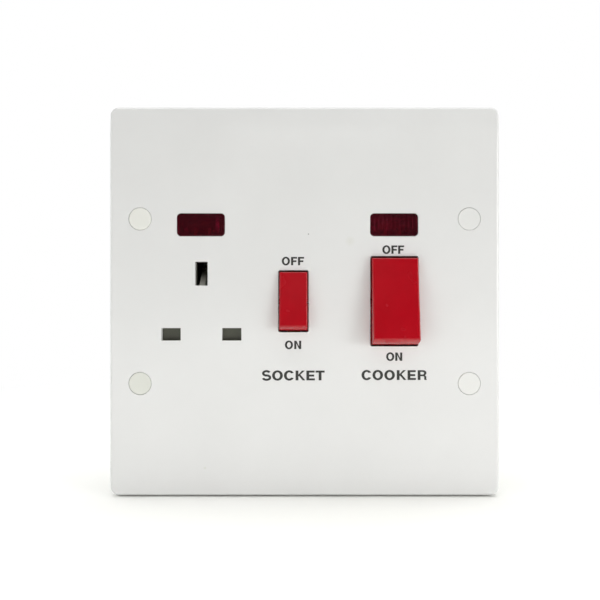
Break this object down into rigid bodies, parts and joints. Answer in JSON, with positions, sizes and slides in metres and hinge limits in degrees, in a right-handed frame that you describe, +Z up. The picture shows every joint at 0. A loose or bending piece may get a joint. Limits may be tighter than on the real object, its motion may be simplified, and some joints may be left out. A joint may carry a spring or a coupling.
{
  "type": "cooker control unit",
  "caption": "Square white wall plate with a large red cooker switch, a three-pin socket with its own small red switch, and dark red neon windows.",
  "frame": {"origin": "middle of the four fixing holes, in the wall plane behind the plate's rim", "axes": "+Z up the plate, +X to the right seen from the front, +Y into the wall"},
  "size_m": [0.143, 0.0408, 0.143],
  "materials": {
    "plate_plastic": "gloss moulded white",
    "housing_plastic": "satin moulded",
    "cover_plastic": "satin moulded",
    "shutter_plastic": "satin moulded",
    "steel_spring": "bright wire",
    "red_plastic": "gloss moulded red",
    "red_lens": "clear dark red",
    "lamp_glass": "clear",
    "resistor_body": "lacquered",
    "tinned_wire": "tinned",
    "silver_contact": "satin silver",
    "brass": "pressed and milled",
    "zinc_steel": "zinc plated",
    "plunger_plastic": "natural nylon"
  },
  "bodies": {
    "plate": {"front_plate": "plate_plastic", "socket_housing": "housing_plastic", "cooker_housing": "housing_plastic", "socket_rear_cover": "cover_plastic", "cooker_rear_cover": "cover_plastic", "shutter_spring": "steel_spring", "socket_neon_lens": "red_lens", "cooker_neon_lens": "red_lens", "socket_neon_lamp": "lamp_glass", "cooker_neon_lamp": "lamp_glass", "socket_neon_resistor": "resistor_body", "cooker_neon_resistor": "resistor_body", "socket_neon_leads": "tinned_wire", "cooker_neon_leads": "tinned_wire", "fixed_rivets": "silver_contact", "live_contact": "brass", "neutral_contact": "brass", "earth_contact": "brass", "earth_terminal": "brass", "live_link": "brass", "neutral_link": "brass", "cooker_live_load_terminal": "brass", "cooker_live_supply_terminal": "brass", "cooker_neutral_load_terminal": "brass", "cooker_neutral_supply_terminal": "brass", "terminal_screws": "zinc_steel", "housing_screws": "zinc_steel", "screw_cap_upper_left": "plate_plastic", "screw_cap_upper_right": "plate_plastic", "screw_cap_lower_left": "plate_plastic", "screw_cap_lower_right": "plate_plastic"},
    "shutter": {"shutter": "shutter_plastic"},
    "socket_rocker": {"socket_rocker": "red_plastic", "socket_plunger": "plunger_plastic", "socket_plunger_spring": "steel_spring"},
    "cooker_rocker": {"cooker_rocker": "red_plastic", "cooker_live_plunger": "plunger_plastic", "cooker_live_plunger_spring": "steel_spring", "cooker_neutral_plunger": "plunger_plastic", "cooker_neutral_plunger_spring": "steel_spring"},
    "socket_contact": {"socket_moving_contact": "brass", "socket_moving_rivet": "silver_contact"},
    "cooker_live_contact": {"cooker_live_moving_contact": "brass", "cooker_live_moving_rivet": "silver_contact"},
    "cooker_neutral_contact": {"cooker_neutral_moving_contact": "brass", "cooker_neutral_moving_rivet": "silver_contact"}
  },
  "joints": [
    {"name": "shutter_slide", "type": "slide", "parent": "plate", "child": "shutter", "axis": [0, 0, -1], "range_m": [0, 0.006], "stiffness_N_per_m": 60, "springref_m": -0.002, "deforming": ["shutter_spring"]},
    {"name": "socket_rocker_tilt", "type": "hinge", "parent": "plate", "child": "socket_rocker", "pos_m": [-0.0041, -0.0068, 0], "axis": [1, 0, 0], "range_deg": [0, 18]},
    {"name": "cooker_rocker_tilt", "type": "hinge", "parent": "plate", "child": "cooker_rocker", "pos_m": [0.0329, -0.0068, 0], "axis": [1, 0, 0], "range_deg": [0, 18]},
    {"name": "socket_contact_tilt", "type": "hinge", "parent": "plate", "child": "socket_contact", "pos_m": [-0.0041, 0.0074, 0], "axis": [1, 0, 0], "range_deg": [-18, 0]},
    {"name": "cooker_live_contact_tilt", "type": "hinge", "parent": "plate", "child": "cooker_live_contact", "pos_m": [0.0285, 0.0092, 0], "axis": [1, 0, 0], "range_deg": [-18, 0]},
    {"name": "cooker_neutral_contact_tilt", "type": "hinge", "parent": "plate", "child": "cooker_neutral_contact", "pos_m": [0.0373, 0.0092, 0], "axis": [1, 0, 0], "range_deg": [-18, 0]}
  ],
  "couplings": [
    {"joint": "socket_contact_tilt", "follows": "socket_rocker_tilt", "ratio": -1},
    {"joint": "cooker_live_contact_tilt", "follows": "cooker_rocker_tilt", "ratio": -1},
    {"joint": "cooker_neutral_contact_tilt", "follows": "cooker_rocker_tilt", "ratio": -1}
  ]
}
